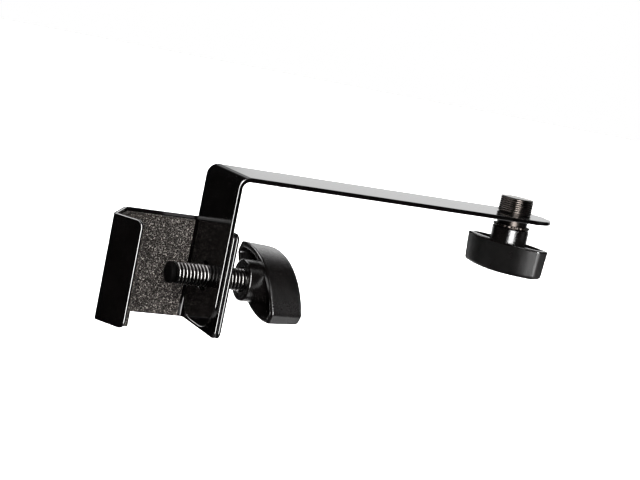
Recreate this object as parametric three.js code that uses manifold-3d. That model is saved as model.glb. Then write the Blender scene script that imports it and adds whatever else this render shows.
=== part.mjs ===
// Clamp-on extension bar for a microphone stand: a bent steel bar, a sheet-steel V-jaw that
// grips the stand tube, a clamp screw with a T-knob, and a captive threaded stud with a T-knob.
// Millimetres, +Z up. The origin is on the axis of the stand tube the jaw holds, level with
// the clamp screw. +X runs along the bar, -Y is the open side of the jaw.
import * as THREE from "three";
import { mergeVertices } from "three/addons/utils/BufferGeometryUtils.js";
import Module from "manifold-3d";

const wasm = await Module();
wasm.setup();

// ---- driving dimensions -------------------------------------------------------------------
const GAP = 0.3; // clearance kept between pieces that touch

const TUBE_R = 10.8; // stand tube the screw is closed on
const LEG_X = 27.2; // tube axis to the outer face of the bar's leg

const BAR_W = 34.7;
const BAR_T = 2;
const BAR_TOP = 45.4; // clamp screw axis to the top of the arm
const BAR_BEND = 5; // outside radius of the bend
const LEG_BOTTOM = -20.4;
const LEG_CORNER = 13;
const LEG_HOLE_R = 6.3; // clears the clamp screw, which is threaded in the plate behind
const STUD_X = LEG_X + 148;
const ARM_END = STUD_X + BAR_W / 2; // rounded end concentric with the stud

const JAW_T = 1.35;
const JAW_TOP = 21.6;
const JAW_BOTTOM = -22.8;
const JAW_BEND = 2.8; // outside radius of the jaw's bends
const JAW_EDGE_Y = -16.9; // near edge of the flange
const JAW_BACK_Y = 20.2;
const LIP_END_Y = -13.4;
const JAW_CORNER = 3;
const LINER_T = 1.8;
const LINER_BEND = 3.8; // at the jaw's outer face
const LINER_BELOW_TOP = 1.5;
const LINER_ABOVE_BOTTOM = 0.9;

const SCREW_R = 4.76; // 3/8 in - 16
const SCREW_PITCH = 1.5875;
const TIP_R = 4.5;
const TIP_L = 2.4;
const SCREW_START = TUBE_R + GAP + TIP_L;
const HUB_FACE_X = LEG_X + 17.3;

const STUD_R = 7.9375; // 5/8 in - 27
const STUD_PITCH = 0.9407;
const STUD_TOP = 52.8;
const NECK_R = 7.1;
const NECK_GAP = 3.5; // arm underside to the top of the washer
const WASHER_T = 0.9;

const KNOB_WALL = 2.4;
const KNOB_DRAFT = 3; // degrees, sides closing in towards the outer face
const HUB_RISE = 6.5; // hub face above the open rim
const HUB_EDGE = 0.6;
// Wing length, middle and end width at the open rim, height in the middle, drop of the outer
// face at the ends, hub radius, and degrees the wing stands turned about its screw.
const CLAMP_KNOB = { length: 47.6, middle: 20.6, end: 5.6, height: 15.6, crown: 0.8, hub: 9, turn: 27.5 };
const STUD_KNOB = { length: 41.6, middle: 18.4, end: 7, height: 14.4, crown: 0.9, hub: 8.6, turn: 70 };

// ---- helpers ------------------------------------------------------------------------------
const TAU = 2 * Math.PI;
const rad = (degrees) => (degrees * Math.PI) / 180;
const v2 = (x, y) => new THREE.Vector2(x, y);

// Frames for profiles: [profile x, profile y, extrusion direction].
const PLAN = new THREE.Matrix4();
const SIDE = new THREE.Matrix4().makeBasis(
  new THREE.Vector3(1, 0, 0),
  new THREE.Vector3(0, 0, 1),
  new THREE.Vector3(0, -1, 0),
);
const FRONT = new THREE.Matrix4().makeBasis(
  new THREE.Vector3(0, 1, 0),
  new THREE.Vector3(0, 0, 1),
  new THREE.Vector3(1, 0, 0),
);

function solid(geometry) {
  const plain = geometry.clone();
  plain.deleteAttribute("normal");
  plain.deleteAttribute("uv");
  const merged = mergeVertices(plain, 1e-4);
  return new wasm.Manifold(
    new wasm.Mesh({
      numProp: 3,
      vertProperties: new Float32Array(merged.attributes.position.array),
      triVerts: new Uint32Array(merged.index.array),
    }),
  );
}

function node(name, body, colour, metalness, roughness, place = PLAN) {
  const out = body.getMesh();
  const geometry = new THREE.BufferGeometry();
  geometry.setAttribute("position", new THREE.BufferAttribute(out.vertProperties, 3));
  geometry.setIndex(new THREE.BufferAttribute(out.triVerts, 1));
  geometry.computeVertexNormals();
  const material = new THREE.MeshStandardMaterial({ color: colour, metalness, roughness });
  const mesh = new THREE.Mesh(geometry, material);
  mesh.name = name;
  mesh.applyMatrix4(place);
  return mesh;
}

function extruded(points, from, to) {
  const shape = new THREE.Shape(points);
  const geometry = new THREE.ExtrudeGeometry(shape, { depth: to - from, bevelEnabled: false });
  return geometry.translate(0, 0, from);
}

const prism = (points, from, to, frame = PLAN) =>
  solid(extruded(points, from, to).applyMatrix4(frame));

function circle(radius, count, x = 0, y = 0, turn = 0) {
  const points = [];
  for (let i = 0; i < count; i += 1) {
    const a = turn + (TAU * i) / count;
    points.push(v2(x + radius * Math.cos(a), y + radius * Math.sin(a)));
  }
  return points;
}

// Polyline with each inner vertex replaced by an arc of the given radius.
function filleted(corners, radii, steps = 5) {
  const out = [corners[0]];
  for (let i = 1; i < corners.length - 1; i += 1) {
    const here = corners[i];
    const back = corners[i - 1].clone().sub(here).normalize();
    const ahead = corners[i + 1].clone().sub(here).normalize();
    const half = Math.acos(back.dot(ahead)) / 2;
    const centre = here.clone().add(
      back.clone().add(ahead).normalize().multiplyScalar(radii[i] / Math.sin(half)),
    );
    const start = here.clone().add(back.multiplyScalar(radii[i] / Math.tan(half))).sub(centre);
    const end = here.clone().add(ahead.multiplyScalar(radii[i] / Math.tan(half))).sub(centre);
    const sweep = Math.atan2(start.cross(end), start.dot(end));
    for (let k = 0; k <= steps; k += 1) {
      const spot = start.clone().rotateAround(v2(0, 0), (sweep * k) / steps);
      out.push(spot.add(centre));
    }
  }
  out.push(corners[corners.length - 1]);
  return out;
}

// Vertices of a polyline moved to its left by a distance.
function offset(corners, distance) {
  const left = (a, b) => b.clone().sub(a).normalize().rotateAround(v2(0, 0), Math.PI / 2);
  return corners.map((here, i) => {
    const before = i > 0 ? left(corners[i - 1], here) : left(here, corners[i + 1]);
    const after = i < corners.length - 1 ? left(here, corners[i + 1]) : before;
    const sum = before.clone().add(after);
    return here.clone().add(sum.multiplyScalar((2 * distance) / sum.lengthSq()));
  });
}

// Section of a bent strip: outer corners, bend radii on that side, distances to its two faces.
function bentStrip(corners, bends, near, far) {
  const face = (depth) => filleted(offset(corners, depth), bends.map((r) => r - depth));
  return [...face(near), ...face(far).reverse()];
}

// Waste outside a rounded corner; signs point from the arc's centre to the sharp corner.
function cornerWaste(x, y, signX, signY, radius, steps = 6) {
  const points = [v2(x + signX, y + signY), v2(x - signX * radius, y + signY)];
  for (let i = steps; i >= 0; i -= 1) {
    const a = (i / steps) * (Math.PI / 2);
    const across = x - signX * radius * (1 - Math.cos(a));
    const up = y - signY * radius * (1 - Math.sin(a));
    points.push(v2(across, up));
  }
  points.push(v2(x + signX, y - signY * radius));
  return points;
}

function turned(profile, segments = 32) {
  return solid(new THREE.LatheGeometry(profile, segments).rotateX(Math.PI / 2));
}

// Lathe profile points of a ridged thread between two heights.
function ridges(from, to, pitch, radius) {
  const depth = 0.58 * pitch;
  const count = Math.floor((to - from) / pitch);
  const step = (to - from) / count;
  const points = [];
  for (let i = 0; i < count; i += 1) {
    points.push(v2(radius - depth, from + step * i));
    points.push(v2(radius, from + step * (i + 0.5)));
  }
  points.push(v2(radius - depth, to));
  return points;
}

// ---- extension bar ------------------------------------------------------------------------
function extensionBar() {
  const corners = [v2(LEG_X, LEG_BOTTOM), v2(LEG_X, BAR_TOP), v2(ARM_END, BAR_TOP)];
  const section = bentStrip(corners, [0, BAR_BEND, 0], 0, -BAR_T);
  let bar = prism(section, -BAR_W / 2, BAR_W / 2, SIDE);

  const round = [];
  for (let i = 0; i <= 24; i += 1) {
    const a = -Math.PI / 2 + (Math.PI * i) / 24;
    const r = BAR_W / 2;
    round.push(v2(ARM_END - r + r * Math.cos(a), r * Math.sin(a)));
  }
  const plan = [...round, v2(LEG_X - 1, BAR_W / 2), v2(LEG_X - 1, -BAR_W / 2)];
  bar = bar.intersect(prism(plan, LEG_BOTTOM - 1, BAR_TOP + 1));

  for (const side of [-1, 1]) {
    const waste = cornerWaste(side * (BAR_W / 2), LEG_BOTTOM, side, -1, LEG_CORNER);
    bar = bar.subtract(prism(side > 0 ? waste : waste.reverse(), LEG_X - 1, LEG_X + 3, FRONT));
  }
  bar = bar.subtract(prism(circle(NECK_R + GAP, 40, STUD_X, 0), BAR_TOP - 3, BAR_TOP + 1));
  return bar.subtract(prism(circle(LEG_HOLE_R, 32), LEG_X - 1, LEG_X + 3, FRONT));
}

// ---- clamp jaw, its liner and the tapped plate --------------------------------------------
const FLANGE_X = LEG_X + BAR_T + GAP + JAW_T; // outer face of the jaw's flange
const JAW_LINE = [
  v2(FLANGE_X, JAW_EDGE_Y),
  v2(FLANGE_X, JAW_BACK_Y),
  v2(LEG_X - 32.1, JAW_BACK_Y),
  v2(LEG_X - 43.8, 0.2),
  v2(LEG_X - 36, LIP_END_Y),
];

function roundCorners(body, y, side, from, to) {
  let out = body;
  for (const [z, up] of [[JAW_TOP, 1], [JAW_BOTTOM, -1]]) {
    const waste = cornerWaste(y, z, side, up, JAW_CORNER);
    const points = side * up > 0 ? waste : waste.reverse();
    out = out.subtract(prism(points, from, to, FRONT));
  }
  return out;
}

function clampJaw() {
  const bends = [0, JAW_BEND, JAW_BEND, JAW_BEND, 0];
  const section = bentStrip(JAW_LINE, bends, 0, JAW_T);
  let jaw = prism(section, JAW_BOTTOM, JAW_TOP);
  jaw = roundCorners(jaw, JAW_EDGE_Y, -1, LEG_X + 1, FLANGE_X + 1);
  jaw = roundCorners(jaw, LIP_END_Y, -1, LEG_X - 46, LEG_X - 30);
  const bore = circle(SCREW_R + GAP, 32);
  return jaw.subtract(prism(bore, LEG_X + 1, FLANGE_X + 1, FRONT));
}

function jawLiner() {
  const lip = v2(LEG_X - 36.25, LIP_END_Y + 0.45);
  const line = [v2(LEG_X - 0.8, JAW_BACK_Y), ...JAW_LINE.slice(2, 4), lip];
  const bends = [0, LINER_BEND, LINER_BEND, 0];
  const near = JAW_T + GAP;
  const section = bentStrip(line, bends, near, near + LINER_T);
  return prism(section, JAW_BOTTOM + LINER_ABOVE_BOTTOM, JAW_TOP - LINER_BELOW_TOP);
}

function nutPlate() {
  const from = FLANGE_X + GAP;
  const to = from + JAW_T;
  const outline = [
    v2(JAW_EDGE_Y, JAW_BOTTOM),
    v2(BAR_W / 2, JAW_BOTTOM),
    v2(BAR_W / 2, JAW_TOP),
    v2(JAW_EDGE_Y, JAW_TOP),
  ];
  let plate = prism(outline, from, to, FRONT);
  plate = roundCorners(plate, JAW_EDGE_Y, -1, from - 1, to + 1);
  plate = roundCorners(plate, BAR_W / 2, 1, from - 1, to + 1);
  return plate.subtract(prism(circle(SCREW_R + GAP, 32), from - 1, to + 1, FRONT));
}

// ---- T-knob -------------------------------------------------------------------------------
// Local frame: open rim at z = 0, outer face towards +z, hub face at -HUB_RISE, wing along x.
function lens(length, middle, end) {
  const half = length / 2;
  const rise = (middle - end) / 2;
  const r = (half * half + rise * rise) / (2 * rise);
  const reach = Math.asin(half / r);
  const points = [];
  for (const side of [1, -1]) {
    for (let i = 0; i <= 10; i += 1) {
      const a = reach - (2 * reach * i) / 10;
      points.push(v2(side * r * Math.sin(a), side * (middle / 2 - r + r * Math.cos(a))));
    }
  }
  return points;
}

// Hexagonal root that locks a screw into its hub.
const ROOT_FROM = 1;
const ROOT_TO = 8;
const ROOT_R = 6.6;

// Lens-shaped block with drafted sides and a crowned outer face, inset all round.
function crowned(knob, inset) {
  const length = knob.length - 2 * inset;
  const middle = knob.middle - 2 * inset;
  const end = knob.end - 1.4 * inset;
  const height = knob.height - inset;

  const half = length / 2;
  const r = (half * half + knob.crown * knob.crown) / (2 * knob.crown);
  const section = [v2(-half - 1, -1), v2(half + 1, -1)];
  for (let i = 0; i <= 10; i += 1) {
    const x = half + 1 - ((2 * half + 2) * i) / 10;
    section.push(v2(x, height - r + Math.sqrt(r * r - x * x)));
  }

  const draft = Math.tan(rad(KNOB_DRAFT));
  const block = extruded(lens(length, middle, end), 0, height + 1);
  const spots = block.attributes.position;
  for (let i = 0; i < spots.count; i += 1) {
    const closing = 2 * draft * spots.getZ(i);
    spots.setX(i, spots.getX(i) * (1 - closing / length));
    spots.setY(i, spots.getY(i) * (1 - closing / middle));
  }
  return solid(block).intersect(prism(section, -20, 20, SIDE));
}

function tKnob(knob, shank) {
  const top = knob.height - KNOB_WALL;
  const hub = turned([
    v2(0, -HUB_RISE),
    v2(knob.hub - HUB_EDGE, -HUB_RISE),
    v2(knob.hub, -HUB_RISE + HUB_EDGE),
    v2(knob.hub, top),
    v2(0, top),
  ], 24);
  const bore = prism(circle(shank + GAP, 32), -HUB_RISE - 0.5, ROOT_FROM + 1 + GAP);
  const pocket = prism(circle(ROOT_R + GAP * 1.2, 6), ROOT_FROM - GAP, ROOT_TO + GAP);
  return crowned(knob, 0).subtract(crowned(knob, KNOB_WALL)).add(hub).subtract(bore.add(pocket));
}

// ---- placing ------------------------------------------------------------------------------
const CLAMP_KNOB_AT = new THREE.Matrix4()
  .makeTranslation(HUB_FACE_X + HUB_RISE, 0, 0)
  .multiply(new THREE.Matrix4().makeRotationX(rad(CLAMP_KNOB.turn)))
  .multiply(FRONT);

const WASHER_TOP = BAR_TOP - BAR_T - NECK_GAP;
const STUD_HUB_Z = WASHER_TOP - WASHER_T - GAP;
const STUD_KNOB_AT = new THREE.Matrix4()
  .makeTranslation(STUD_X, 0, STUD_HUB_Z - HUB_RISE)
  .multiply(new THREE.Matrix4().makeRotationZ(rad(-STUD_KNOB.turn)))
  .multiply(new THREE.Matrix4().makeRotationX(Math.PI));

// ---- clamp screw, in its knob's frame ------------------------------------------------------
const SCREW_TIP = SCREW_START - HUB_FACE_X - HUB_RISE;
const PIN_R = TIP_R - 2.6;
const PIN_L = 1.5;

function clampScrew() {
  const rod = turned([
    v2(0, SCREW_TIP - PIN_L),
    v2(PIN_R, SCREW_TIP - PIN_L),
    v2(PIN_R, SCREW_TIP),
    ...ridges(SCREW_TIP, 1 - HUB_RISE, SCREW_PITCH, SCREW_R),
    v2(SCREW_R, 1 - HUB_RISE),
    v2(SCREW_R, ROOT_FROM + 1),
    v2(0, ROOT_FROM + 1),
  ], 28);
  return rod.add(prism(circle(ROOT_R, 6), ROOT_FROM, ROOT_TO));
}

function screwTipCap() {
  const bore = PIN_R + GAP;
  return turned([
    v2(0, SCREW_TIP - TIP_L),
    v2(TIP_R - 0.5, SCREW_TIP - TIP_L),
    v2(TIP_R, SCREW_TIP - TIP_L + 0.5),
    v2(TIP_R, SCREW_TIP - GAP),
    v2(bore, SCREW_TIP - GAP),
    v2(bore, SCREW_TIP - PIN_L - GAP),
    v2(0, SCREW_TIP - PIN_L - GAP),
  ], 28);
}

// ---- captive stud and its washer, in their knob's frame ------------------------------------
const ABOVE_RIM = (height) => STUD_HUB_Z - HUB_RISE - height;

function threadedStud() {
  const base = BAR_TOP + GAP;
  const chamfer = 1.1;
  const profile = [
    v2(0, ABOVE_RIM(STUD_TOP)),
    v2(STUD_R - chamfer, ABOVE_RIM(STUD_TOP)),
    ...ridges(ABOVE_RIM(STUD_TOP - chamfer), ABOVE_RIM(base + 0.5), STUD_PITCH, STUD_R),
    v2(STUD_R, ABOVE_RIM(base + 0.3)),
    v2(STUD_R, ABOVE_RIM(base)),
    v2(NECK_R, ABOVE_RIM(base)),
    v2(NECK_R, ROOT_FROM + 1),
    v2(0, ROOT_FROM + 1),
  ];
  return turned(profile, 40).add(prism(circle(ROOT_R, 6), ROOT_FROM, ROOT_TO));
}

function studWasher() {
  const teeth = 24;
  const outline = [];
  for (let i = 0; i < teeth; i += 1) {
    for (const [share, depth] of [[0, 0], [0.4, 0], [0.5, 0.35], [0.9, 0.35]]) {
      const a = (TAU * (i + share)) / teeth;
      const r = STUD_KNOB.hub - depth;
      outline.push(v2(r * Math.cos(a), r * Math.sin(a)));
    }
  }
  const ring = prism(outline, ABOVE_RIM(WASHER_TOP), ABOVE_RIM(WASHER_TOP - WASHER_T));
  return ring.subtract(prism(circle(NECK_R + GAP, 40), -20, 0));
}

// ---- assembly -----------------------------------------------------------------------------
const BLACK_PAINT = [0x0c0c0e, 0.1, 0.25];
const DARK_STEEL = [0x4a4440, 0.95, 0.35];
const BLACK_PLASTIC = [0x151516, 0, 0.45];

const group = new THREE.Group();
group.name = "stand_extension_bar";
group.add(
  node("extension_bar", extensionBar(), ...BLACK_PAINT),
  node("clamp_jaw", clampJaw(), ...BLACK_PAINT),
  node("nut_plate", nutPlate(), ...BLACK_PAINT),
  node("jaw_liner", jawLiner(), 0x3c3733, 0, 0.95),
  node("clamp_screw", clampScrew(), ...DARK_STEEL, CLAMP_KNOB_AT),
  node("screw_tip_cap", screwTipCap(), ...BLACK_PLASTIC, CLAMP_KNOB_AT),
  node("clamp_knob", tKnob(CLAMP_KNOB, SCREW_R), ...BLACK_PLASTIC, CLAMP_KNOB_AT),
  node("threaded_stud", threadedStud(), ...DARK_STEEL, STUD_KNOB_AT),
  node("stud_washer", studWasher(), 0x8a8580, 0.95, 0.3, STUD_KNOB_AT),
  node("stud_knob", tKnob(STUD_KNOB, NECK_R), ...BLACK_PLASTIC, STUD_KNOB_AT),
);

export default group;
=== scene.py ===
import math

import bmesh
import bpy
from mathutils import Matrix, Vector, noise


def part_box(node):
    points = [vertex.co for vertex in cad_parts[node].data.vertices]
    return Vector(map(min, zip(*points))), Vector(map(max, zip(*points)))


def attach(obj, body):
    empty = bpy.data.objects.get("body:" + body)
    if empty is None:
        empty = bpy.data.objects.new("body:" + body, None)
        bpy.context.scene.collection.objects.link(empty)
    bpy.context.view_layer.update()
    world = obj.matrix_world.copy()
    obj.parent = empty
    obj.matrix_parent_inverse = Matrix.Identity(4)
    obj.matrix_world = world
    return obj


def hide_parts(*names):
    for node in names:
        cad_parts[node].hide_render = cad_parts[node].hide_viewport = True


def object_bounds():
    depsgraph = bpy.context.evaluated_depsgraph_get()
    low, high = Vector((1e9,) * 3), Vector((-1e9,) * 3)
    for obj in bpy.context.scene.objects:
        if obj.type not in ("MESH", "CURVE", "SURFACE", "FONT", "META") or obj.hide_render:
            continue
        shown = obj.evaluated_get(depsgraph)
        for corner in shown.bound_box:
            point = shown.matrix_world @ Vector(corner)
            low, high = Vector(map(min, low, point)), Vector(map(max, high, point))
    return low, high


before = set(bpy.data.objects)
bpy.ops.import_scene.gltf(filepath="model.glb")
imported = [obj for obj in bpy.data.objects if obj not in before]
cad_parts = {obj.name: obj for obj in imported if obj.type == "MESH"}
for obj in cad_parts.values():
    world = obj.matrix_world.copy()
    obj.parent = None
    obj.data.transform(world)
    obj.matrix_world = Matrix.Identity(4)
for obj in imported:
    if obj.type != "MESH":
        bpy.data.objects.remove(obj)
CAD_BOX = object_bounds()

# Sizes and places are in millimetres, and to_object turns them into metres. Colours are linear.
MM = 0.001
TAU = 2 * math.pi


# ---- where things are, from the frame ------------------------------------------------------------
def box_mm(node):
    low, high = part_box(node)
    return low / MM, high / MM


bar_lo, bar_hi = box_mm("extension_bar")
jaw_lo, jaw_hi = box_mm("clamp_jaw")
plate_lo, plate_hi = box_mm("nut_plate")
liner_lo, liner_hi = box_mm("jaw_liner")
tip_lo, tip_hi = box_mm("screw_tip_cap")
stud_lo, stud_hi = box_mm("threaded_stud")
washer_lo, washer_hi = box_mm("stud_washer")

# Clearance between neighbouring pieces.
GAP = 0.3

# Bar: a leg down the jaw's flange and an arm out to the stud.
LEG_X = bar_lo.x
BAR_TOP = bar_hi.z
BAR_W = bar_hi.y - bar_lo.y
BAR_T = 2.0
BAR_BEND = 5.0
LEG_CORNER = 13.0
LEG_HOLE_R = 6.3
ARM_END = bar_hi.x
STUD_X = ARM_END - BAR_W / 2

# Jaw: flange, back wall, slant of the V and lip. X distances are from the leg.
SHEET_T = plate_hi.x - plate_lo.x
FLANGE_X = plate_lo.x - GAP
BACK_WALL_END = 32.1
V_DEPTH = 43.8
V_Y = 0.2
LIP_END = 36.0
LIP_Y = -13.4
JAW_BEND = 2.8
JAW_CORNER = 3.0
JAW_PATH = [
    (FLANGE_X, jaw_lo.y),
    (FLANGE_X, jaw_hi.y),
    (LEG_X - BACK_WALL_END, jaw_hi.y),
    (LEG_X - V_DEPTH, V_Y),
    (LEG_X - LIP_END, LIP_Y),
]
ARRIS = 0.42

# Liner: glued inside the jaw, short of the leg and of the lip's edge.
LINER_T = 1.8
LINER_GAP = SHEET_T + GAP
LINER_BEND = 3.8
LINER_START = 0.8
LINER_LIP = (LEG_X - 36.25, -12.95)
LINER_CELL = 0.42

# Clamp screw 3/8 in - 16, stud 5/8 in - 27. Their rods are trimmed just outside the thread.
SCREW_R = 4.76
SCREW_PITCH = 1.5875
STUD_R = (stud_hi.x - stud_lo.x) / 2
STUD_PITCH = 0.9407
NECK_R = 7.1
TRIM_OVER = 0.05

# T-knobs, in their own frame: open rim at height 0, outer face up, hub hanging below the rim.
HUB_RISE = 6.5
CLAMP_KNOB = {"length": 47.6, "middle": 20.6, "end": 5.6, "height": 15.6, "crown": 0.8, "hub": 9.0}
STUD_KNOB = {"length": 41.6, "middle": 18.4, "end": 7.0, "height": 14.4, "crown": 0.9, "hub": 8.6}
KNOB_WALL = 2.4
KNOB_DRAFT = math.tan(math.radians(3))
KNOB_EDGE = 1.9
RIM_R = 0.7
CAVITY_R = 1.0
SHANK_END = 1.9
BORE_END = 1.5

# Hexagonal root of each screw, moulded in its knob's hub.
ROOT_R = 6.6
ROOT_LOW = 1.0
ROOT_HIGH = 8.0

# Turns local X, Y and Z to the object's Y, Z and X.
FRONT = Matrix(((0, 0, 1, 0), (1, 0, 0, 0), (0, 1, 0, 0), (0, 0, 0, 1)))
HUB_FACE_X = box_mm("clamp_knob")[0].x
CLAMP_KNOB_AT = (
    Matrix.Translation((HUB_FACE_X + HUB_RISE, 0, 0))
    @ Matrix.Rotation(math.radians(27.5), 4, "X")
    @ FRONT
)
STUD_HUB_Z = box_mm("stud_knob")[1].z
STUD_KNOB_AT = (
    Matrix.Translation((STUD_X, 0, STUD_HUB_Z - HUB_RISE))
    @ Matrix.Rotation(math.radians(-70), 4, "Z")
    @ Matrix.Rotation(math.pi, 4, "X")
)


# ---- mesh helpers --------------------------------------------------------------------------------
def to_object(bm, name, place=None, sharp=40):
    """Object of a finished mesh, set down by place, with edges over sharp degrees kept crisp."""
    bmesh.ops.remove_doubles(bm, verts=bm.verts, dist=1e-5)
    bmesh.ops.recalc_face_normals(bm, faces=bm.faces)
    mesh = bpy.data.meshes.new(name)
    bm.to_mesh(mesh)
    bm.free()
    mesh.transform(Matrix.Scale(MM, 4) @ (place or Matrix.Identity(4)))
    obj = bpy.data.objects.new(name, mesh)
    bpy.context.scene.collection.objects.link(obj)
    smooth(obj, sharp)
    return obj


def smooth(obj, sharp):
    obj.data.polygons.foreach_set("use_smooth", [True] * len(obj.data.polygons))
    obj.data.set_sharp_from_angle(angle=math.radians(sharp))


def bake_modifiers(obj, sharp=None):
    """Apply the modifiers to the mesh."""
    graph = bpy.context.evaluated_depsgraph_get()
    made = bpy.data.meshes.new_from_object(obj.evaluated_get(graph))
    obj.modifiers.clear()
    old = obj.data
    obj.data = made
    bpy.data.meshes.remove(old)
    if sharp is not None:
        smooth(obj, sharp)


def combine(obj, tool, operation, sharp):
    """Boolean of obj with tool, which is used up."""
    step = obj.modifiers.new("combine", "BOOLEAN")
    step.operation = operation
    step.solver = "EXACT"
    step.object = tool
    bake_modifiers(obj, sharp)
    bpy.data.objects.remove(tool)


def even_normals(obj):
    """Flat faces keep flat shading next to their rounded edges."""
    step = obj.modifiers.new("even_normals", "WEIGHTED_NORMAL")
    step.weight = 100
    step.keep_sharp = True
    bake_modifiers(obj)
    return obj


def tag(obj, attribute, place, rule):
    """Store rule(distance from the local axis, local height) on every vertex, for the material."""
    values = obj.data.attributes.new(attribute, "FLOAT", "POINT")
    local = (Matrix.Scale(MM, 4) @ place).inverted()
    for vert in obj.data.vertices:
        spot = local @ vert.co
        values.data[vert.index].value = rule(math.hypot(spot.x, spot.y), spot.z)


def limited(number):
    return min(1.0, max(0.0, number))


def circle(bm, radius, height, count):
    return [
        bm.verts.new((radius * math.cos(TAU * i / count), radius * math.sin(TAU * i / count), height))
        for i in range(count)
    ]


def lathe(profile, name, place, segments=96, sharp=40):
    """Closed solid turned about the local Z axis from (radius, height) points, axis to axis."""
    bm = bmesh.new()
    rings = []
    for radius, height in profile:
        if radius:
            rings.append(circle(bm, radius, height, segments))
        else:
            rings.append([bm.verts.new((0, 0, height))])
    skin(bm, rings)
    return to_object(bm, name, place, sharp)


def hexagon(radius, low, high, name, place):
    """Hexagonal prism on the local Z axis, with its radius at the corners."""
    bm = bmesh.new()
    rings = [circle(bm, radius, height, 6) for height in (low, high)]
    skin(bm, rings)
    for ring in rings:
        bm.faces.new(ring)
    return to_object(bm, name, place)


def skin(bm, rings):
    """Faces between neighbouring rings. A ring of one point makes a fan."""
    for low, high in zip(rings, rings[1:]):
        count = max(len(low), len(high))
        for i in range(count):
            k = (i + 1) % count
            corners = [low[i % len(low)], low[k % len(low)], high[k % len(high)], high[i % len(high)]]
            unique = list(dict.fromkeys(corners))
            if len(unique) > 2:
                bm.faces.new(unique)


def turned(vector, angle):
    c, s = math.cos(angle), math.sin(angle)
    return vector.x * c - vector.y * s, vector.x * s + vector.y * c


def rounded(corners, radii, steps):
    """Outline or profile with the corners that radii numbers replaced by arcs."""
    points = [Vector(corner) for corner in corners]
    out = []
    for i, here in enumerate(points):
        if i in radii:
            out += fillet_arc(points[i - 1], here, points[(i + 1) % len(points)], radii[i], steps)
        else:
            out.append(tuple(here))
    return out


def fillet_arc(before, here, after, radius, steps):
    """Points of the arc that rounds the corner at here."""
    back = (before - here).normalized()
    ahead = (after - here).normalized()
    half = math.acos(max(-1, min(1, back.dot(ahead)))) / 2
    centre = here + (back + ahead).normalized() * (radius / math.sin(half))
    start = here + back * (radius / math.tan(half)) - centre
    end = here + ahead * (radius / math.tan(half)) - centre
    sweep = math.atan2(start.x * end.y - start.y * end.x, start.dot(end))
    out = []
    for k in range(steps + 1):
        x, y = turned(start, sweep * k / steps)
        out.append((x + centre.x, y + centre.y))
    return out


# A 60 degree thread over one pitch, as shares of the pitch and of the depth: flat root, round crest.
THREAD_FORM = [
    (0.0, 0.0), (0.12, 0.0), (0.38, 0.88), (0.44, 0.97),
    (0.56, 1.0), (0.68, 0.97), (0.74, 0.88),
]
THREAD_DEPTH = 0.6


def helix_rod(radius, pitch, low, high, name, place, around=72):
    """Solid rod with a true right-hand helical thread that runs two pitches past low and high."""
    depth = THREAD_DEPTH * pitch
    form = len(THREAD_FORM)
    turns = math.ceil((high - low) / pitch) + 3
    start = low - 2 * pitch
    bm = bmesh.new()
    grid = []
    for row in range(turns * form + 1):
        share, rise = THREAD_FORM[row % form]
        height = start + pitch * (row // form + share)
        r = radius - depth * (1 - rise)
        line = []
        for i in range(around):
            a = TAU * i / around
            line.append(bm.verts.new((r * math.cos(a), r * math.sin(a), height + pitch * i / around)))
        grid.append(line)
    last = len(grid) - 1
    for row in range(last):
        line, above = grid[row], grid[row + 1]
        for i in range(around - 1):
            bm.faces.new((line[i], line[i + 1], above[i + 1], above[i]))
        if row + form < last:
            bm.faces.new((line[-1], grid[row + form][0], grid[row + form + 1][0], above[-1]))
    bottom = grid[0] + [grid[row][0] for row in range(form, 0, -1)]
    top = grid[last] + [grid[row][-1] for row in range(last - 1, last - form - 1, -1)]
    for loop, height in ((bottom, start), (top, start + (turns + 1) * pitch)):
        hub = bm.verts.new((0, 0, height))
        for a, b in zip(loop, loop[1:] + loop[:1]):
            bm.faces.new((a, b, hub))
    return to_object(bm, name, place, sharp=50)


# ---- sheet metal ---------------------------------------------------------------------------------
class BentPath:
    """A polyline with rounded corners that all turn the same way, followed by its outer face."""

    def __init__(self, corners, radius, inset=0.0, steps=10):
        points = [Vector(c) for c in corners]
        directions = [(b - a).normalized() for a, b in zip(points, points[1:])]
        first, second = directions[:2]
        turn = first.x * second.y - first.y * second.x
        self.sign = 1 if turn > 0 else -1
        self.pieces = []
        self.cuts = []
        length = 0.0
        spot = points[0] + self.inward(directions[0]) * inset
        radius -= inset
        for i, heading in enumerate(directions):
            end = self.moved(points, directions, i + 1, inset)
            if i < len(directions) - 1:
                ahead = directions[i + 1]
                angle = abs(math.atan2(heading.x * ahead.y - heading.y * ahead.x, heading.dot(ahead)))
                trim = radius * math.tan(angle / 2)
                stop = end - heading * trim
                straight = (stop - spot).length
                self.pieces.append(("line", length, spot, heading, 0))
                length += straight
                centre = stop + self.inward(heading) * radius
                self.pieces.append(("arc", length, centre, stop - centre, radius))
                self.cuts += [length + radius * angle * k / steps for k in range(steps + 1)]
                length += radius * angle
                spot = end + ahead * trim
            else:
                self.pieces.append(("line", length, spot, heading, 0))
                length += (end - spot).length
        self.length = length

    def inward(self, heading):
        """Direction from the outer face into the sheet."""
        return Vector((-heading.y, heading.x)) * self.sign

    def moved(self, points, directions, i, inset):
        """Corner i of the path when its faces move inward."""
        if i == len(points) - 1:
            return points[i] + self.inward(directions[-1]) * inset
        a, b = self.inward(directions[i - 1]), self.inward(directions[i])
        both = a + b
        return points[i] + both * (2 * inset / both.length_squared)

    def at(self, along, depth):
        """Point at a distance along the outer face and a depth below it."""
        piece = self.pieces[0]
        for later in self.pieces[1:]:
            if later[1] <= along + 1e-9:
                piece = later
        kind, start, origin, heading, radius = piece
        if kind == "line":
            return origin + heading * (along - start) + self.inward(heading) * depth
        spoke = Vector(turned(heading, (along - start) / radius * self.sign))
        return origin + spoke * ((radius - depth) / radius)


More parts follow.
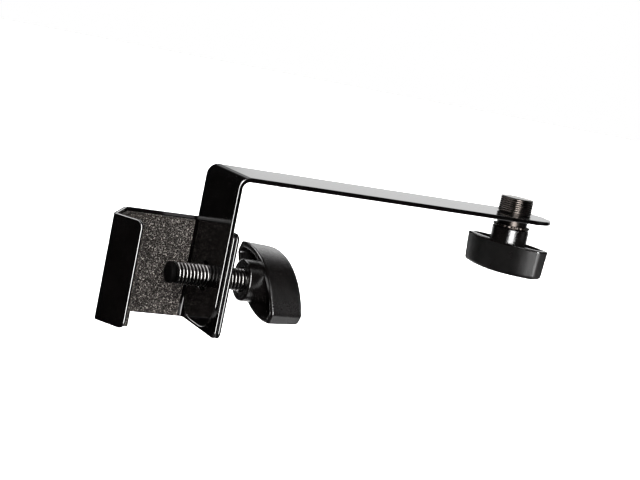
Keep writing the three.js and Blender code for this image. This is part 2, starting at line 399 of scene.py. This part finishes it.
def loop_normals(loop):
    """Outward mitre at each point of an anticlockwise loop, for moving its edges by one unit."""
    out = []
    for i, here in enumerate(loop):
        before, after = loop[i - 1], loop[(i + 1) % len(loop)]
        a = Vector((here[1] - before[1], before[0] - here[0])).normalized()
        b = Vector((after[1] - here[1], here[0] - after[0])).normalized()
        both = a + b
        out.append(both * (2 / both.length_squared))
    return out


def sheet_metal(name, outline, holes, thickness, edge=ARRIS, cuts=(), bend=None, steps=4, place=None):
    """Plate with rounded edges from an outline (anticlockwise) and holes (clockwise).

    It is sliced at cuts, where bend then folds it. Its edge attribute marks the rounding for wear.
    """
    bm = bmesh.new()
    wear = bm.verts.layers.float.new("edge")
    profile = []
    for k in range(steps + 1):
        a = math.pi / 2 * k / steps
        profile.append((edge * (1 - math.sin(a)), edge * (1 - math.cos(a)), math.sin(2 * a)))
    profile += [(inset, thickness - depth, worn) for inset, depth, worn in reversed(profile)]
    caps = ([], [])
    for loop in [outline, *holes]:
        normals = loop_normals(loop)
        rings = []
        for inset, depth, worn in profile:
            ring = []
            for point, normal in zip(loop, normals):
                vert = bm.verts.new((point[0] - normal.x * inset, point[1] - normal.y * inset, depth))
                vert[wear] = worn
                ring.append(vert)
            rings.append(ring)
        skin(bm, rings)
        for cap, ring in zip(caps, (rings[0], rings[-1])):
            for a, b in zip(ring, ring[1:] + ring[:1]):
                cap.append(bm.edges.get((a, b)))
    for cap in caps:
        bmesh.ops.triangle_fill(bm, edges=cap, use_beauty=True, use_dissolve=False)
    for cut in cuts:
        bmesh.ops.bisect_plane(
            bm, geom=bm.verts[:] + bm.edges[:] + bm.faces[:], dist=1e-5,
            plane_co=(cut, 0, 0), plane_no=(1, 0, 0),
        )
    if bend:
        for vert in bm.verts:
            vert.co = bend(vert.co.x, vert.co.y, vert.co.z)
    return even_normals(to_object(bm, name, place, sharp=50))


def hole_points(radius, x, y, count):
    """Circle, clockwise."""
    return [
        (x + radius * math.cos(-TAU * i / count), y + radius * math.sin(-TAU * i / count))
        for i in range(count)
    ]


def blunt_rectangle(u_low, u_high, v_low, v_high):
    corners = [(u_low, v_low), (u_high, v_low), (u_high, v_high), (u_low, v_high)]
    return rounded(corners, dict.fromkeys(range(4), JAW_CORNER), 8)


# ---- materials -----------------------------------------------------------------------------------
class Finish:
    """A procedural material built up from noise in the object's own coordinates, in metres."""

    def __init__(self, name):
        self.material = bpy.data.materials.new(name)
        self.material.use_nodes = True
        self.tree = self.material.node_tree
        self.shader = self.tree.nodes["Principled BSDF"]
        self.coords = self.tree.nodes.new("ShaderNodeTexCoord").outputs["Object"]

    def node(self, kind, **settings):
        made = self.tree.nodes.new(kind)
        for key, value in settings.items():
            setattr(made, key, value)
        return made

    def link(self, source, target):
        self.tree.links.new(source, target)

    def value(self, socket, number):
        self.shader.inputs[socket].default_value = number

    def stretched(self, scale):
        mapping = self.node("ShaderNodeMapping")
        mapping.inputs["Scale"].default_value = scale
        self.link(self.coords, mapping.inputs["Vector"])
        return mapping.outputs["Vector"]

    def noise(self, scale, detail=3.0, rough=0.55, coords=None):
        made = self.node("ShaderNodeTexNoise")
        made.inputs["Scale"].default_value = scale
        made.inputs["Detail"].default_value = detail
        made.inputs["Roughness"].default_value = rough
        self.link(coords or self.coords, made.inputs["Vector"])
        return made.outputs["Fac"]

    def cells(self, scale, output="Distance"):
        made = self.node("ShaderNodeTexVoronoi")
        made.inputs["Scale"].default_value = scale
        self.link(self.coords, made.inputs["Vector"])
        return made.outputs[output]

    def spread(self, source, low, high, to_low=0.0, to_high=1.0):
        """Map low..high to to_low..to_high, held at the ends."""
        made = self.node("ShaderNodeMapRange")
        self.link(source, made.inputs["Value"])
        limits = {"From Min": low, "From Max": high, "To Min": to_low, "To Max": to_high}
        for socket, number in limits.items():
            made.inputs[socket].default_value = number
        return made.outputs["Result"]

    def times(self, a, b):
        made = self.node("ShaderNodeMath", operation="MULTIPLY")
        self.link(a, made.inputs[0])
        if isinstance(b, (int, float)):
            made.inputs[1].default_value = b
        else:
            self.link(b, made.inputs[1])
        return made.outputs[0]

    def plus(self, a, b):
        made = self.node("ShaderNodeMath", operation="ADD")
        self.link(a, made.inputs[0])
        self.link(b, made.inputs[1])
        return made.outputs[0]

    def ramp(self, source, stops):
        """Colour from (position, colour) stops."""
        made = self.node("ShaderNodeValToRGB")
        elements = made.color_ramp.elements
        while len(elements) < len(stops):
            elements.new(0.5)
        for element, (position, colour) in zip(elements, stops):
            element.position = position
            element.color = (*colour, 1)
        self.link(source, made.inputs["Fac"])
        return made.outputs["Color"]

    def mix(self, factor, a, b):
        made = self.node("ShaderNodeMix", data_type="RGBA")
        self.link(factor, made.inputs[0])
        for index, colour in ((6, a), (7, b)):
            if isinstance(colour, tuple):
                made.inputs[index].default_value = (*colour, 1)
            else:
                self.link(colour, made.inputs[index])
        return made.outputs[2]

    def bumps(self, *layers):
        """Normal from layers of (height, strength, distance)."""
        normal = None
        for height, strength, distance in layers:
            made = self.node("ShaderNodeBump")
            made.inputs["Strength"].default_value = strength
            made.inputs["Distance"].default_value = distance
            self.link(height, made.inputs["Height"])
            if normal:
                self.link(normal, made.inputs["Normal"])
            normal = made.outputs["Normal"]
        self.link(normal, self.shader.inputs["Normal"])

    def attribute(self, name):
        return self.node("ShaderNodeAttribute", attribute_name=name).outputs["Fac"]

    def colour(self, source):
        self.link(source, self.shader.inputs["Base Color"])

    def roughness(self, source):
        self.link(source, self.shader.inputs["Roughness"])


def gloss_paint(name, peel, smudge):
    """Black stoving enamel: orange peel, faint smudges, dust, and edges rubbed a little thin."""
    deep = (0.0002, 0.00017, 0.00017)
    faded = (0.0005, 0.00044, 0.00044)
    dusty = (0.012, 0.011, 0.0105)
    thin = (0.012, 0.011, 0.01)
    f = Finish(name)
    wear = f.attribute("edge")
    rubbed = f.times(wear, f.spread(f.noise(300, 5, 0.7), 0.5, 0.75))
    dust = f.spread(f.noise(5200, 2, 0.5), 0.71, 0.76, 0.0, 0.35)
    tone = f.ramp(f.noise(70, 4), [(0.3, deep), (0.7, faded)])
    painted = f.mix(dust, tone, dusty)
    f.colour(f.mix(rubbed, painted, thin))
    base = f.spread(f.noise(smudge, 5, 0.6), 0.3, 0.72, 0.06, 0.11)
    f.roughness(f.plus(base, f.times(rubbed, 0.18)))
    f.value("IOR", 1.22)
    f.link(f.spread(wear, 0.1, 0.8, 0.02, 1.0), f.shader.inputs["Coat Weight"])
    f.value("Coat Roughness", 0.06)
    f.value("Coat IOR", 1.6)
    f.bumps((f.noise(peel, 2, 0.4), 0.1, 0.00005), (f.noise(3600, 3, 0.6), 0.05, 0.00002))
    return f.material


def moulded_plastic(name, satin, ends):
    """Black moulding with a fine spark-eroded grain, satin, a little polished by hands.

    satin is the roughness of its sides, and ends is what is added to it at the wing's tips. Its
    polish attribute is 1 where hands rub and -1 at the tips.
    """
    deep = (0.0006, 0.0005, 0.0005)
    faded = (0.0016, 0.0014, 0.0014)
    linty = (0.009, 0.0084, 0.008)
    f = Finish(name)
    tone = f.ramp(f.noise(120, 5, 0.6), [(0.3, deep), (0.72, faded)])
    lint = f.spread(f.noise(4300, 2, 0.5), 0.7, 0.76, 0.0, 0.3)
    f.colour(f.mix(lint, tone, linty))
    polish = f.attribute("polish")
    dulled = f.spread(f.noise(190, 6, 0.65), 0.3, 0.72, satin, satin + 0.08)
    worn = f.plus(f.spread(polish, 0.0, 1.0, 0.0, -0.2), f.spread(polish, 0.0, -1.0, 0.0, ends))
    f.roughness(f.plus(dulled, worn))
    f.value("Specular IOR Level", 0.32)
    grain = f.plus(f.noise(1500, 3, 0.65), f.times(f.cells(2600), 0.6))
    f.bumps((grain, 0.6, 0.00009), (f.noise(260, 3), 0.12, 0.0001))
    return f.material


def cork_rubber(name):
    """Granular sheet of bonded cork and rubber crumbs."""
    gap = (0.0003, 0.00025, 0.0002)
    rubber = (0.0022, 0.0018, 0.0015)
    cork = (0.029, 0.0255, 0.023)
    stained = (0.0015, 0.0012, 0.001)
    fleck = (0.125, 0.113, 0.103)
    f = Finish(name)
    crumbs = f.noise(2400, 3, 0.75)
    pick = f.node("ShaderNodeSeparateColor")
    f.link(f.cells(2200, output="Color"), pick.inputs[0])
    light = f.spread(pick.outputs[0], 0.66, 0.9)
    base = f.ramp(crumbs, [(0.44, gap), (0.52, rubber), (0.6, cork)])
    toned = f.mix(f.spread(f.noise(60, 3), 0.35, 0.7, 0.0, 0.5), base, stained)
    f.colour(f.mix(f.times(light, f.spread(crumbs, 0.5, 0.6)), toned, fleck))
    f.roughness(f.spread(crumbs, 0.35, 0.7, 0.95, 0.62))
    f.value("Specular IOR Level", 0.06)
    f.bumps((crumbs, 0.9, 0.0003), (f.cells(2400), 0.35, 0.00012))
    return f.material


def plated_steel(name, dark, light, rough, axis):
    """Plated turned steel: cutting marks round the axis, thin patches, and painted shade in the threads.

    Its attribute is 1 in a thread's root, where it paints shade, 0 on a crest and -1 on a bare, dull end.
    """
    dull_end = (0.09, 0.088, 0.086)
    f = Finish(name)
    along = [260.0, 260.0, 260.0]
    along[axis] = 5200.0
    marks = f.noise(1.0, 4, 0.7, f.stretched(tuple(along)))
    patch = f.noise(340, 6, 0.68)
    tone = f.ramp(patch, [(0.28, dark), (0.72, light)])
    stain = f.spread(f.noise(420, 5, 0.7), 0.56, 0.76, 0.0, 0.5)
    stained = f.mix(stain, tone, tuple(c * 0.38 for c in dark))
    shade_and_bare_level = f.attribute("shade_and_bare_end")
    shade_and_bare_end = f.spread(shade_and_bare_level, 0.12, 0.75)
    bare = f.times(f.spread(shade_and_bare_level, -0.2, -0.8), f.spread(f.noise(700, 4, 0.6), 0.2, 0.5, 0.6, 1.0))
    worn = f.mix(bare, stained, dull_end)
    # Painted shade: the colour darkens towards a thread's root, and wherever the attribute is positive.
    f.colour(f.mix(shade_and_bare_end, worn, tuple(c * 0.06 for c in dark)))
    f.link(f.spread(bare, 0.0, 1.0, 1.0, 0.1), f.shader.inputs["Metallic"])
    dulled = f.plus(f.times(shade_and_bare_end, 0.2), f.times(bare, 0.35))
    f.roughness(f.plus(f.spread(patch, 0.3, 0.7, rough, rough + 0.12), dulled))
    f.bumps((marks, 0.12, 0.00003), (f.noise(2600, 3, 0.6), 0.07, 0.00002))
    return f.material


def soft_cap(name):
    """Matt black rubber-like plastic."""
    deep = (0.0001, 0.00008, 0.00008)
    faded = (0.0003, 0.00026, 0.00026)
    f = Finish(name)
    f.colour(f.ramp(f.noise(900, 5, 0.6), [(0.3, deep), (0.75, faded)]))
    f.roughness(f.spread(f.noise(1400, 3), 0.3, 0.7, 0.6, 0.8))
    f.value("Specular IOR Level", 0.02)
    f.bumps((f.noise(3000, 3, 0.6), 0.35, 0.00005))
    return f.material


def finish_piece(obj, node, body, material):
    """Stand obj in for a CAD node: give it its material, put it on its body and hide the node."""
    obj.data.materials.clear()
    obj.data.materials.append(material)
    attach(obj, body)
    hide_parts(node)


# ---- extension bar -------------------------------------------------------------------------------
def make_bar():
    path = BentPath([(LEG_X, bar_lo.z), (LEG_X, BAR_TOP), (ARM_END, BAR_TOP)], BAR_BEND)
    half = BAR_W / 2
    arc_steps = 40
    end = []
    for k in range(arc_steps + 1):
        a = math.pi * k / arc_steps
        end.append((path.length - half + half * math.sin(a), -half * math.cos(a)))
    foot = fillet_arc(Vector(end[-1]), Vector((0, half)), Vector((0, 0)), LEG_CORNER, 14)
    heel = fillet_arc(Vector((0, 0)), Vector((0, -half)), Vector(end[0]), LEG_CORNER, 14)
    stud_hole = hole_points(NECK_R + GAP, path.length - half, 0, 64)
    screw_hole = hole_points(LEG_HOLE_R, -bar_lo.z, 0, 48)

    def bend(u, v, depth):
        spot = path.at(u, depth)
        return Vector((spot.x, v, spot.y))

    outline = end + foot + heel
    holes = [stud_hole, screw_hole]
    return sheet_metal("bar_bent_steel", outline, holes, BAR_T, cuts=path.cuts, bend=bend)


# ---- jaw, nut plate and liner --------------------------------------------------------------------
def make_jaw():
    path = BentPath(JAW_PATH, JAW_BEND)
    hole = hole_points(SCREW_R + GAP, -jaw_lo.y, 0, 48)

    def bend(u, v, depth):
        spot = path.at(u, depth)
        return Vector((max(spot.x, jaw_lo.x), spot.y, v))

    outline = blunt_rectangle(0, path.length, jaw_lo.z, jaw_hi.z)
    return sheet_metal("jaw_bent_sheet", outline, [hole], SHEET_T, cuts=path.cuts, bend=bend)


def make_plate():
    outline = blunt_rectangle(plate_lo.y, plate_hi.y, plate_lo.z, plate_hi.z)
    hole = hole_points(SCREW_R + 0.1, 0, 0, 48)
    place = Matrix.Translation((plate_lo.x, 0, 0)) @ FRONT
    return sheet_metal("nut_plate_sheet", outline, [hole], SHEET_T, place=place)


def crumb_depth(u, v):
    """How far the liner's face lies below its full thickness, from two sizes of crumb."""
    seed = Vector((u, v, 3.7))
    return 0.05 + 0.09 * noise.noise(seed * 1.45) + 0.06 * noise.noise(seed * 3.1)


def make_liner():
    """Liner as a fine grid, so that its crumbs stand up from the surface as real relief."""
    corners = [(LEG_X - LINER_START, jaw_hi.y), *JAW_PATH[2:4], LINER_LIP]
    path = BentPath(corners, LINER_BEND, inset=LINER_GAP, steps=6)
    low, high = liner_lo.z, liner_hi.z
    raggedness = 0.07
    rows = round(path.length / LINER_CELL)
    columns = round((high - low) / LINER_CELL)
    bm = bmesh.new()
    faces = []
    for depth in (0.0, LINER_T):
        sheet = []
        for i in range(rows + 1):
            u = path.length * i / rows
            line = []
            for j in range(columns + 1):
                v = low + (high - low) * j / columns
                inside = 0 < i < rows and 0 < j < columns
                spot = path.at(u, depth - crumb_depth(u, v) if depth and inside else depth)
                ragged = 0.0 if inside else raggedness * noise.noise(Vector((u * 1.9, v * 1.9, depth)))
                pull = {0: raggedness - ragged, columns: ragged - raggedness}.get(j, 0.0)
                line.append(bm.verts.new((spot.x, spot.y, v + pull)))
            sheet.append(line)
        for i in range(rows):
            for j in range(columns):
                bm.faces.new((sheet[i][j], sheet[i + 1][j], sheet[i + 1][j + 1], sheet[i][j + 1]))
        faces.append(sheet)
    back, front = faces
    for i in range(rows):
        for j in (0, columns):
            bm.faces.new((back[i][j], back[i + 1][j], front[i + 1][j], front[i][j]))
    for j in range(columns):
        for i in (0, rows):
            bm.faces.new((back[i][j], back[i][j + 1], front[i][j + 1], front[i][j]))
    return to_object(bm, "jaw_liner_granular", sharp=50)


# ---- T-knobs -------------------------------------------------------------------------------------
def lens_outline(length, middle, end, corner):
    """Two shallow arcs, middle apart, cut off where they are end apart, with rounded corners."""
    half = length / 2
    rise = (middle - end) / 2
    r = (half * half + rise * rise) / (2 * rise)
    reach = math.asin(half / r)
    arc_steps = 32
    sides = []
    for side in (1, -1):
        arc = []
        for k in range(arc_steps + 1):
            a = reach - 2 * reach * k / arc_steps
            arc.append((side * r * math.sin(a), side * (middle / 2 - r + r * math.cos(a))))
        sides.append(arc)
    out = []
    for arc, other in (sides, sides[::-1]):
        out += fillet_arc(Vector(other[-1]), Vector(arc[0]), Vector(arc[4]), corner, 6)
        out += arc[3:-3]
        out += fillet_arc(Vector(arc[-5]), Vector(arc[-1]), Vector(other[0]), corner, 6)
    return out


def make_wing(knob, name, place):
    """Hollow wing of a T-knob: cavity, open rim, drafted side and crowned outer face."""
    half = knob["length"] / 2
    crown_r = (half * half + knob["crown"] ** 2) / (2 * knob["crown"])
    height = knob["height"]
    floor = height - KNOB_WALL
    shoulder = height - KNOB_EDGE
    bm = bmesh.new()

    def ring(inset, z, crowned, scale=1.0):
        """Outline at height z, moved in by inset. crowned is its share of the outer face's crown."""
        inset += KNOB_DRAFT * z
        end = max(1.6, knob["end"] - 1.2 * inset)
        corner = min(max(0.45, 2.4 - 0.4 * inset), 0.36 * end)
        outline = lens_outline(knob["length"] - 2 * inset, knob["middle"] - 2 * inset, end, corner)
        made = []
        for x, y in outline:
            x, y = x * scale, y * scale
            drop = crowned * (crown_r - math.sqrt(crown_r * crown_r - x * x))
            made.append(bm.verts.new((x, y, z - drop)))
        return made

    rings = [[bm.verts.new((0, 0, floor))]]
    rings += [ring(KNOB_WALL + CAVITY_R, floor, 1, share) for share in (0.25, 0.5, 0.75, 1)]
    for k in range(1, 4):
        a = math.pi / 2 * k / 3
        inset = KNOB_WALL + CAVITY_R * (1 - math.sin(a))
        rings.append(ring(inset, floor - CAVITY_R * (1 - math.cos(a)), 1))
    rings += [ring(KNOB_WALL, 7, 0.5), ring(KNOB_WALL, 3, 0), ring(KNOB_WALL, 0.4, 0)]
    rings += [ring(KNOB_WALL - 0.12, 0.12, 0), ring(KNOB_WALL - 0.4, 0, 0)]
    for k in range(5):
        a = math.pi / 2 * k / 4
        rings.append(ring(RIM_R * (1 - math.sin(a)), RIM_R * (1 - math.cos(a)), 0))
    rings += [ring(0, RIM_R + 0.35, 0), ring(0, 3, 0), ring(0, 6, 0.25), ring(0, 9, 0.6)]
    rings.append(ring(0, shoulder, 1))
    for k in range(1, 7):
        a = math.pi / 2 * k / 6
        rings.append(ring(KNOB_EDGE * (1 - math.cos(a)), shoulder + KNOB_EDGE * math.sin(a), 1))
    rings += [ring(KNOB_EDGE, height, 1, share) for share in (0.88, 0.7, 0.5, 0.3, 0.12)]
    rings.append([bm.verts.new((0, 0, height))])
    skin(bm, rings)
    return to_object(bm, name, place, sharp=45)


def make_knob(knob, shank, name, place):
    """Wing with its hub, bored for the shank and with a pocket for the screw's root."""
    body = make_wing(knob, name, place)
    hub_r = knob["hub"]
    hub_top = knob["height"] - KNOB_WALL + 0.8
    hub_profile = [(0, -HUB_RISE), (hub_r, -HUB_RISE), (hub_r + 0.12, hub_top), (0, hub_top)]
    hub = lathe(rounded(hub_profile, {1: 0.8}, 6), "hub", place)
    combine(body, hub, "UNION", sharp=45)

    bore_r = shank + GAP
    mouth_r = bore_r + 0.6
    bore_profile = [
        (0, -HUB_RISE - 1), (mouth_r, -HUB_RISE - 1), (mouth_r, -HUB_RISE),
        (bore_r, -HUB_RISE + 0.6), (bore_r, BORE_END), (0, BORE_END),
    ]
    combine(body, lathe(bore_profile, "bore", place, segments=72), "DIFFERENCE", sharp=45)
    pocket = hexagon(ROOT_R + 1.2 * GAP, ROOT_LOW - GAP, ROOT_HIGH + GAP, "pocket", place)
    combine(body, pocket, "DIFFERENCE", sharp=45)
    even_normals(body)

    def polish(r, z):
        """1 on the hub's outside and the rim, down to -1 at the wing's tips."""
        if r < hub_r + 0.2:
            return float(z < 5)
        if z < RIM_R + 0.1:
            return 1.0
        return -limited((r - knob["length"] / 2 + 8) / 6)

    tag(body, "polish", place, polish)
    return body


# ---- screws --------------------------------------------------------------------------------------
def make_clamp_screw():
    place = CLAMP_KNOB_AT
    tip = (tip_hi.x + GAP) - HUB_FACE_X - HUB_RISE
    chamfer = 1.2
    pin_r, pin_l = 1.9, 1.5
    rod = helix_rod(SCREW_R, SCREW_PITCH, tip, 0, "clamp_screw_thread", place)
    profile = [
        (0, tip), (SCREW_R - 1.1, tip), (SCREW_R + TRIM_OVER, tip + chamfer),
        (SCREW_R + TRIM_OVER, SHANK_END), (0, SHANK_END),
    ]
    combine(rod, lathe(profile, "shape", place), "INTERSECT", sharp=50)
    pin_profile = [(0, tip - pin_l), (pin_r, tip - pin_l), (pin_r, tip + 0.5), (0, tip + 0.5)]
    combine(rod, lathe(pin_profile, "pin", place, segments=48), "UNION", sharp=50)
    combine(rod, hexagon(ROOT_R, ROOT_LOW, ROOT_HIGH, "root", place), "UNION", sharp=50)
    even_normals(rod)
    # Painted shade, darkest in the thread's roots.
    tag(rod, "shade_and_bare_end", place, lambda r, z: limited((SCREW_R - r) / (0.4 * SCREW_PITCH)))
    return rod


def make_tip_cap():
    """Cap with a shallow groove round its back, bored for the screw's pin."""
    back = tip_hi.x - HUB_FACE_X - HUB_RISE
    face = tip_lo.x - HUB_FACE_X - HUB_RISE
    r = (tip_hi.z - tip_lo.z) / 2
    groove_r = r - 0.18
    bore, bore_l = 2.2, 1.5
    profile = [
        (0, face), (r, face), (r, back - 0.85), (groove_r, back - 0.72), (groove_r, back - 0.58),
        (r, back - 0.45), (r, back), (bore, back), (bore, back - bore_l), (0, back - bore_l),
    ]
    profile = rounded(profile, {1: 0.55, 6: 0.25}, 4)
    return lathe(profile, "screw_tip_cap_turned", CLAMP_KNOB_AT, segments=72)


def make_stud():
    place = STUD_KNOB_AT
    above = STUD_HUB_Z - HUB_RISE
    top = above - stud_hi.z
    base = above - (BAR_TOP + GAP)
    full_r = STUD_R + TRIM_OVER
    rod = helix_rod(STUD_R, STUD_PITCH, top, base, "stud_thread", place, around=96)
    profile = [
        (0, top), (STUD_R - 1.35, top), (STUD_R - 1.0, top), (STUD_R - 0.5, top), (full_r, top + 0.55),
        (full_r, base - 0.3), (STUD_R - 0.3, base), (0, base),
    ]
    combine(rod, lathe(rounded(profile, {3: 0.2}, 4), "shape", place), "INTERSECT", sharp=50)
    neck_profile = [(0, base - 0.5), (NECK_R, base - 0.5), (NECK_R, SHANK_END), (0, SHANK_END)]
    combine(rod, lathe(neck_profile, "neck", place), "UNION", sharp=50)
    combine(rod, hexagon(ROOT_R, ROOT_LOW, ROOT_HIGH, "root", place), "UNION", sharp=50)
    even_normals(rod)

    # Painted shade: darker in the thread's roots, on the top chamfer and on the neck under the arm. The
    # bare top end is marked -1.
    def shade_and_bare_end(r, z):
        if z < top + 0.02:
            return -1.0 if r < STUD_R - 1.2 else 0.45
        if z > base - 0.6:
            return 0.5
        return limited((STUD_R - r) / (0.35 * STUD_PITCH))

    tag(rod, "shade_and_bare_end", place, shade_and_bare_end)
    return rod


def make_washer():
    teeth = 24
    tooth_depth = 0.35
    points_a_tooth = 6
    outer = (washer_hi.x - washer_lo.x) / 2
    outline = []
    for i in range(teeth * points_a_tooth):
        a = TAU * i / (teeth * points_a_tooth)
        lift = 0.5 + 0.5 * math.cos(teeth * a)
        r = outer - tooth_depth + tooth_depth * lift ** 0.6
        outline.append((r * math.cos(a), r * math.sin(a)))
    hole = hole_points(NECK_R + 0.2, 0, 0, 72)
    place = Matrix.Translation((STUD_X, 0, washer_lo.z))
    thickness = washer_hi.z - washer_lo.z
    ring = sheet_metal("stud_washer_toothed", outline, [hole], thickness, edge=0.22, steps=3, place=place)
    # The whole washer is darkened evenly, as painted shade under the arm.
    tag(ring, "shade_and_bare_end", place, lambda r, z: 0.3)
    return ring


# ---- the object ----------------------------------------------------------------------------------
BLACK_NICKEL = ((0.028, 0.0235, 0.021), (0.062, 0.054, 0.049))
GREY_NICKEL = ((0.054, 0.052, 0.051), (0.13, 0.127, 0.124))

finish_piece(
    make_bar(), "extension_bar", "frame",
    gloss_paint("bar_enamel", peel=620, smudge=26),
)
finish_piece(
    make_jaw(), "clamp_jaw", "frame",
    gloss_paint("jaw_enamel", peel=640, smudge=34),
)
finish_piece(
    make_plate(), "nut_plate", "frame",
    gloss_paint("plate_enamel", peel=600, smudge=40),
)
finish_piece(make_liner(), "jaw_liner", "frame", cork_rubber("cork_rubber"))
finish_piece(
    make_clamp_screw(), "clamp_screw", "clamp_handle",
    plated_steel("screw_nickel", *GREY_NICKEL, rough=0.15, axis=0),
)
finish_piece(make_tip_cap(), "screw_tip_cap", "screw_tip", soft_cap("tip_rubber"))
finish_piece(
    make_knob(CLAMP_KNOB, SCREW_R, "clamp_t_knob", CLAMP_KNOB_AT),
    "clamp_knob", "clamp_handle",
    moulded_plastic("clamp_knob_moulding", satin=0.2, ends=0.05),
)
finish_piece(
    make_stud(), "threaded_stud", "stud_handle",
    plated_steel("stud_nickel", *BLACK_NICKEL, rough=0.14, axis=2),
)
finish_piece(
    make_washer(), "stud_washer", "stud_float",
    plated_steel("washer_nickel", *BLACK_NICKEL, rough=0.28, axis=2),
)
finish_piece(
    make_knob(STUD_KNOB, NECK_R, "stud_t_knob", STUD_KNOB_AT),
    "stud_knob", "stud_handle",
    moulded_plastic("stud_knob_moulding", satin=0.27, ends=0.22),
)


# ---- studio, in metres ---------------------------------------------------------------------------
FLOOR_DROP = 0.09
FLOOR_HALF = 6.0
PAPER = ((0.93, 0.93, 0.93), (0.95, 0.95, 0.95))


def make_floor():
    """Pale paper under the object, left out of its reflections."""
    bm = bmesh.new()
    bmesh.ops.create_grid(bm, x_segments=4, y_segments=4, size=FLOOR_HALF)
    mesh = bpy.data.meshes.new("floor")
    bm.to_mesh(mesh)
    bm.free()
    floor = bpy.data.objects.new("floor", mesh)
    floor.location = (0.1, 0, CAD_BOX[0].z - FLOOR_DROP)
    bpy.context.scene.collection.objects.link(floor)
    f = Finish("floor_paper")
    f.colour(f.ramp(f.noise(3, 3), [(0.3, PAPER[0]), (0.7, PAPER[1])]))
    f.roughness(f.spread(f.noise(8, 2), 0.3, 0.7, 0.8, 0.9))
    f.value("Specular IOR Level", 0.0)
    floor.data.materials.append(f.material)
    floor.visible_glossy = False


def toward(azimuth, elevation):
    """Direction from the object: azimuth from -Y towards +X, elevation above the horizon."""
    a, e = math.radians(azimuth), math.radians(elevation)
    return Vector((math.sin(a) * math.cos(e), -math.cos(a) * math.cos(e), math.sin(e)))


def soft_light(name, direction, distance, size, power):
    """Area light that looks at the object and does not show as a reflection."""
    away = toward(*direction)
    data = bpy.data.lights.new(name, "AREA")
    data.shape = "RECTANGLE"
    data.size, data.size_y = size
    data.energy = power
    light = bpy.data.objects.new(name, data)
    light.location = (CAD_BOX[0] + CAD_BOX[1]) / 2 + away * distance
    light.rotation_mode = "QUATERNION"
    light.rotation_quaternion = away.to_track_quat("Z", "Y")
    light.visible_camera = False
    light.visible_glossy = False
    bpy.context.scene.collection.objects.link(light)


# Softboxes round the object: azimuth, elevation, half width and half height in degrees, half the
# width of their soft edge as a tangent, and strength.
SOFTBOXES = [
    (-18, 8, 14, 34, 0.08, 52.0),    # key, for rolled edges and threads
    (-5, 68, 24, 12, 0.15, 3.0),
    (130, 4, 26, 31, 0.04, 1.15),    # backdrop, mirrored by the arm's top
    (150, 27, 16, 12, 0.08, 0.8),    # mirrored by the clamp knob's upper side
    (168, 2, 8, 10, 0.04, 1.3),      # mirrored by the jaw's top edge
    (72, 30, 10, 12, 0.1, 1.9),
    (-112, 43, 40, 13, 0.12, 14.0),
    (50, -52, 18, 13, 0.1, 3.0),     # mirrored by the clamp knob's lower end
    (134, -42, 22, 10, 0.1, 1.6),
    (178, -20, 14, 20, 0.1, 2.5),
    (-116, -27, 8, 9, 0.06, 1.2),
    (58, -18, 12, 12, 0.08, 0.8),
    (178, 62, 22, 12, 0.1, 0.8),
]
ROOM = 0.012


def make_world():
    """White page behind, dark room with softboxes for everything that lights the object."""
    world = bpy.data.worlds.new("studio")
    bpy.context.scene.world = world
    world.use_nodes = True
    tree = world.node_tree

    def feed(socket, value):
        if isinstance(value, (int, float)):
            socket.default_value = value
        else:
            tree.links.new(value, socket)

    def maths(operation, a, b=0.0):
        made = tree.nodes.new("ShaderNodeMath")
        made.operation = operation
        feed(made.inputs[0], a)
        feed(made.inputs[1], b)
        return made.outputs[0]

    looking = tree.nodes.new("ShaderNodeTexCoord").outputs["Generated"]

    def along(axis):
        made = tree.nodes.new("ShaderNodeVectorMath")
        made.operation = "DOT_PRODUCT"
        feed(made.inputs[0], looking)
        made.inputs[1].default_value = axis
        return made.outputs["Value"]

    def within(offset, half, soft):
        made = tree.nodes.new("ShaderNodeMapRange")
        made.interpolation_type = "SMOOTHSTEP"
        feed(made.inputs["Value"], maths("ABSOLUTE", offset))
        edge = math.tan(math.radians(half))
        made.inputs["From Min"].default_value = edge + soft
        made.inputs["From Max"].default_value = edge - soft
        return made.outputs["Result"]

    glow = ROOM
    for azimuth, elevation, half_w, half_h, soft, strength in SOFTBOXES:
        depth = maths("MAXIMUM", along(toward(azimuth, elevation)), 0.001)
        across = maths("DIVIDE", along(toward(azimuth + 90, 0)), depth)
        up = maths("DIVIDE", along(toward(azimuth, elevation + 90)), depth)
        box = maths("MULTIPLY", within(across, half_w, soft), within(up, half_h, soft))
        glow = maths("ADD", maths("MULTIPLY", box, strength), glow)

    page = tree.nodes.new("ShaderNodeMix")
    feed(page.inputs[0], tree.nodes.new("ShaderNodeLightPath").outputs["Is Camera Ray"])
    feed(page.inputs[2], glow)
    feed(page.inputs[3], 1.0)
    tree.nodes["Background"].inputs["Color"].default_value = (1, 1, 1, 1)
    feed(tree.nodes["Background"].inputs["Strength"], page.outputs[0])


# The camera looks from the front left, a little above, at a point under the arm, and is rolled.
CAMERA_AIM = (0.07485, -0.00573, 0.02211)
CAMERA_FROM = (-28.835, 8.018)
CAMERA_ROLL = 11.830
CAMERA_DISTANCE = 0.6
CAMERA_LENS = 79.19


def make_camera():
    data = bpy.data.cameras.new("camera")
    data.sensor_width = 36
    data.lens = CAMERA_LENS
    data.clip_start = 0.01
    camera = bpy.data.objects.new("camera", data)
    back = toward(*CAMERA_FROM)
    level = back.to_track_quat("Z", "Y").to_matrix().to_4x4()
    spot = Vector(CAMERA_AIM) + back * CAMERA_DISTANCE
    roll = Matrix.Rotation(math.radians(CAMERA_ROLL), 4, "Z")
    camera.matrix_world = Matrix.Translation(spot) @ level @ roll
    bpy.context.scene.collection.objects.link(camera)
    bpy.context.scene.camera = camera


make_floor()
make_world()
make_camera()
soft_light("top_fill", (150, 78), distance=1.0, size=(1.0, 0.7), power=4)
soft_light("front_fill", (20, 30), distance=1.2, size=(0.8, 0.5), power=2)
bpy.context.scene.view_settings.view_transform = "Standard"
